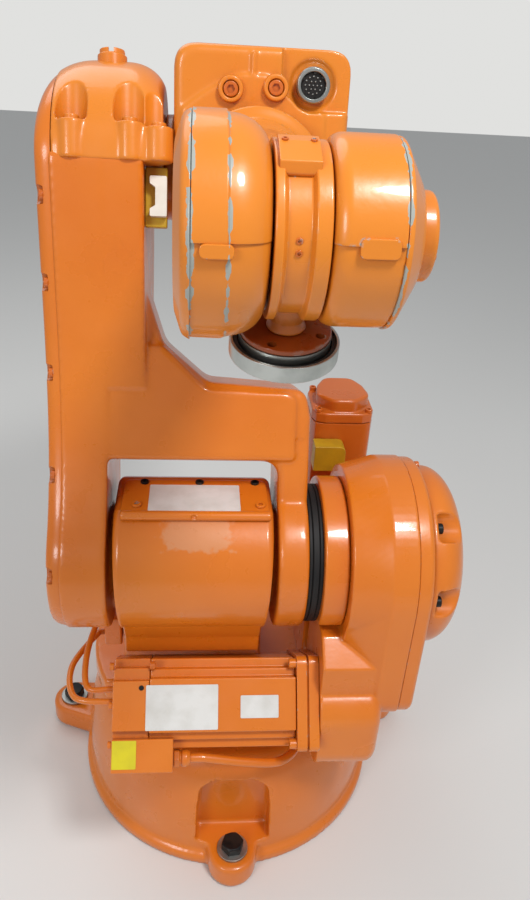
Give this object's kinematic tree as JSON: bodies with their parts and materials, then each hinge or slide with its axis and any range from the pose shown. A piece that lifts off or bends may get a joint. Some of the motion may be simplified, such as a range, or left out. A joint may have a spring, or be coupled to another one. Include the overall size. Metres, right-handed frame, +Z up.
{
  "type": "industrial robot arm",
  "caption": "Compact floor-standing articulated industrial robot arm with a bell base, forked lower arm, motor housings and a round tool flange, folded at rest.",
  "frame": {"origin": "on the first (vertical) axis, in the plane of the base's underside", "axes": "+Z up along the first axis; -Y the way the arm works and the front foot; +X to the gearbox side"},
  "size_m": [0.448, 0.6001, 0.794],
  "materials": {
    "orange_paint": "glossy orange machine paint, a little worn",
    "pale_orange_paint": "glossy orange paint, slightly lighter, chipped at the wrist edges",
    "bare_steel": "bare machined steel",
    "black_steel": "black oxide steel",
    "black_plastic": "black moulded plastic",
    "yellow_plastic": "yellow moulded plastic, soiled",
    "white_plastic": "white moulded plastic"
  },
  "bodies": {
    "base": {"base_casting": "orange_paint", "foot_bolt_front": "black_steel", "foot_bolt_left": "black_steel", "foot_bolt_right": "black_steel", "rear_panel": "bare_steel", "rear_power_socket": "black_plastic", "rear_signal_socket": "black_plastic"},
    "turret": {"axis1_motor": "orange_paint", "axis1_motor_cap": "orange_paint", "axis1_socket": "yellow_plastic", "axis2_connector_box": "orange_paint", "axis2_motor": "orange_paint", "axis2_motor_end": "orange_paint", "axis2_motor_flange": "orange_paint", "cable_gland": "orange_paint", "cable_terminal": "orange_paint", "centre_cover": "orange_paint", "gearbox_cover": "orange_paint", "gearbox_end_flange": "orange_paint", "gearbox_housing": "orange_paint", "leg_seal": "black_plastic", "loop_cable_lower": "orange_paint", "loop_cable_upper": "orange_paint", "motor_cable": "orange_paint", "turret_casting": "orange_paint"},
    "lower_arm": {"lower_arm": "orange_paint", "side_cover": "orange_paint", "axis3_cap": "pale_orange_paint", "top_plug": "pale_orange_paint", "arm_yellow_cap": "yellow_plastic", "arm_white_block": "white_plastic"},
    "upper_arm": {"upper_arm_housing": "pale_orange_paint", "rear_motor_cover_left": "pale_orange_paint", "rear_motor_cover_right": "pale_orange_paint", "arm_connector_ring": "bare_steel", "arm_connector_insert": "black_plastic"},
    "forearm": {"forearm_casting": "pale_orange_paint", "left_cheek": "pale_orange_paint", "right_cheek": "pale_orange_paint", "wrist_end_boss": "pale_orange_paint"},
    "wrist_tilt": {"wrist_tilt": "pale_orange_paint"},
    "tool_flange": {"flange_disc": "orange_paint", "flange_ring": "bare_steel"}
  },
  "joints": [
    {"name": "axis_1_turn", "type": "hinge", "parent": "base", "child": "turret", "pos_m": [0, 0, 0.15], "axis": [0, 0, 1], "range_deg": [-180, 180]},
    {"name": "axis_2_shoulder", "type": "hinge", "parent": "turret", "child": "lower_arm", "pos_m": [0, -0.07, 0.352], "axis": [1, 0, 0], "range_deg": [-70, 130]},
    {"name": "axis_3_elbow", "type": "hinge", "parent": "lower_arm", "child": "upper_arm", "pos_m": [0, 0.05313, 0.69029], "axis": [-1, 0, 0], "range_deg": [-36.4, 243.6]},
    {"name": "axis_4_roll", "type": "hinge", "parent": "upper_arm", "child": "forearm", "pos_m": [0, 0.05313, 0.69029], "axis": [0, -0.9938, 0.1115], "range_deg": [-200, 200]},
    {"name": "axis_5_bend", "type": "hinge", "parent": "forearm", "child": "wrist_tilt", "pos_m": [0, -0.3245, 0.73265], "axis": [1, 0, 0], "range_deg": [-221.9, 8.1]},
    {"name": "axis_6_flange", "type": "hinge", "parent": "wrist_tilt", "child": "tool_flange", "pos_m": [0, -0.3245, 0.73265], "axis": [0, 0.1822, -0.9833], "range_deg": [-400, 400]}
  ]
}
